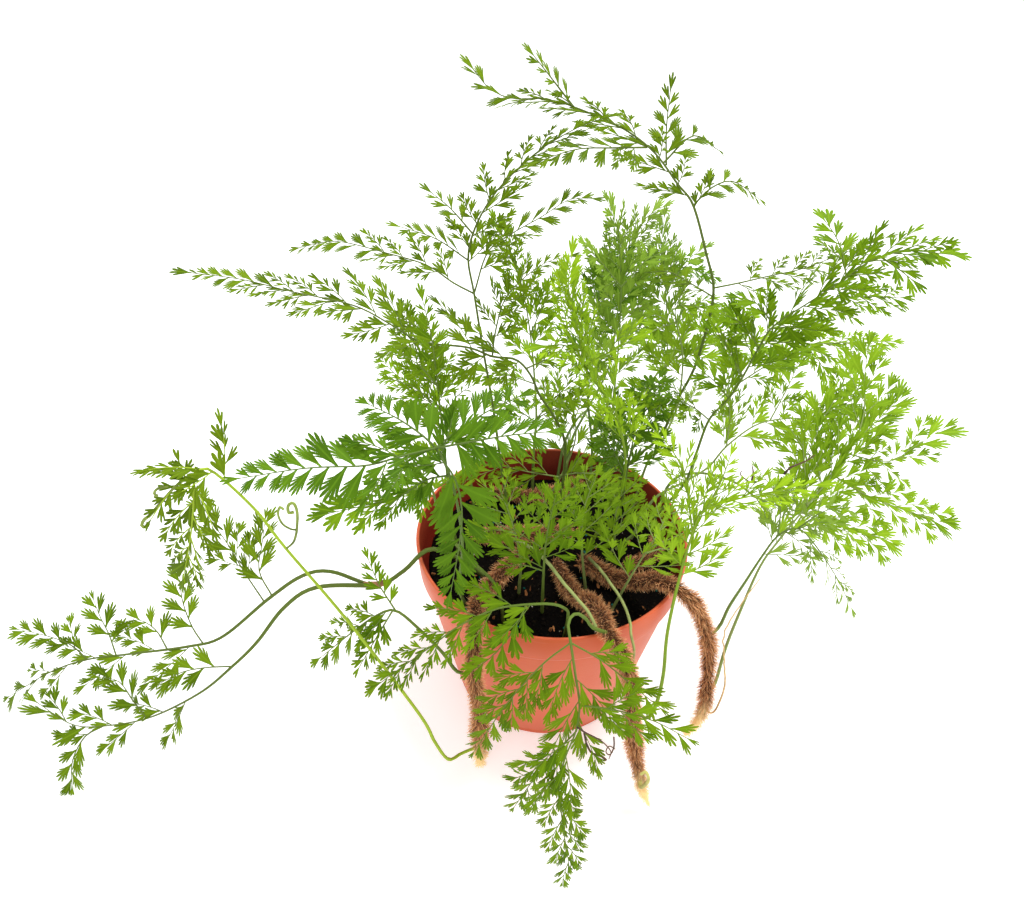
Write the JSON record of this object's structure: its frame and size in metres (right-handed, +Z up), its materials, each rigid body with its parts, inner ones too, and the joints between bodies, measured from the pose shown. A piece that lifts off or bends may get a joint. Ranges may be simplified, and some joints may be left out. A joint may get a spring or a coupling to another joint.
{
  "type": "potted rabbit's foot fern",
  "caption": "Potted rabbit's foot fern: lacy arching fronds on furry rhizomes that creep over the rim of a small round nursery pot.",
  "frame": {"origin": "centre of the pot's flat underside, on the surface it stands on", "axes": "+Z up along the pot's axis, +X towards the plant's right (the plant's longest side runs along X), +Y towards its back"},
  "size_m": [0.4344, 0.2725, 0.2872],
  "materials": {
    "pot_plastic": "matte terracotta-coloured moulded plastic",
    "potting_mix": "moist dark peat mix",
    "rhizome_fur": "dense orange-brown hairs on a brown stem",
    "leaf_fresh": "satin leaf",
    "leaf_dark": "satin leaf",
    "leaf_lime": "satin young leaf",
    "leaf_pale": "satin leaf",
    "dry_root": "dry, matte",
    "fiddlehead_green": "scaly young shoot"
  },
  "bodies": {
    "root": {"dry_rootlet": "dry_root", "fiddlehead": "fiddlehead_green", "frond_back_left": "leaf_fresh", "frond_back_low": "leaf_pale", "frond_bud_left": "leaf_fresh", "frond_center_dark": "leaf_dark", "frond_fan": "leaf_fresh", "frond_front_dark": "leaf_dark", "frond_front_droop": "leaf_fresh", "frond_front_left": "leaf_fresh", "frond_inner_front": "leaf_fresh", "frond_inner_left": "leaf_fresh", "frond_inner_mid": "leaf_fresh", "frond_inner_right": "leaf_fresh", "frond_inner_rim": "leaf_fresh", "frond_left_back": "leaf_fresh", "frond_lime_center": "leaf_lime", "frond_lime_front": "leaf_lime", "frond_lime_left": "leaf_lime", "frond_low_left": "leaf_fresh", "frond_low_mid": "leaf_fresh", "frond_mid_back": "leaf_fresh", "frond_mid_up": "leaf_fresh", "frond_pale_back": "leaf_pale", "frond_right_droop": "leaf_pale", "frond_right_high": "leaf_fresh", "frond_right_low": "leaf_pale", "frond_right_mass": "leaf_fresh", "frond_shelf": "leaf_fresh", "frond_shelf_center": "leaf_fresh", "frond_tall_left": "leaf_fresh", "frond_tallest": "leaf_fresh", "frond_top_center": "leaf_fresh", "frond_top_dark": "leaf_dark", "frond_top_right": "leaf_fresh", "frond_upper_left": "leaf_fresh", "pot": "pot_plastic", "rhizome_back": "rhizome_fur", "rhizome_edge": "rhizome_fur", "rhizome_inner": "rhizome_fur", "rhizome_left": "rhizome_fur", "rhizome_middle": "rhizome_fur", "rhizome_right": "rhizome_fur", "soil": "potting_mix"}
  },
  "joints": []
}
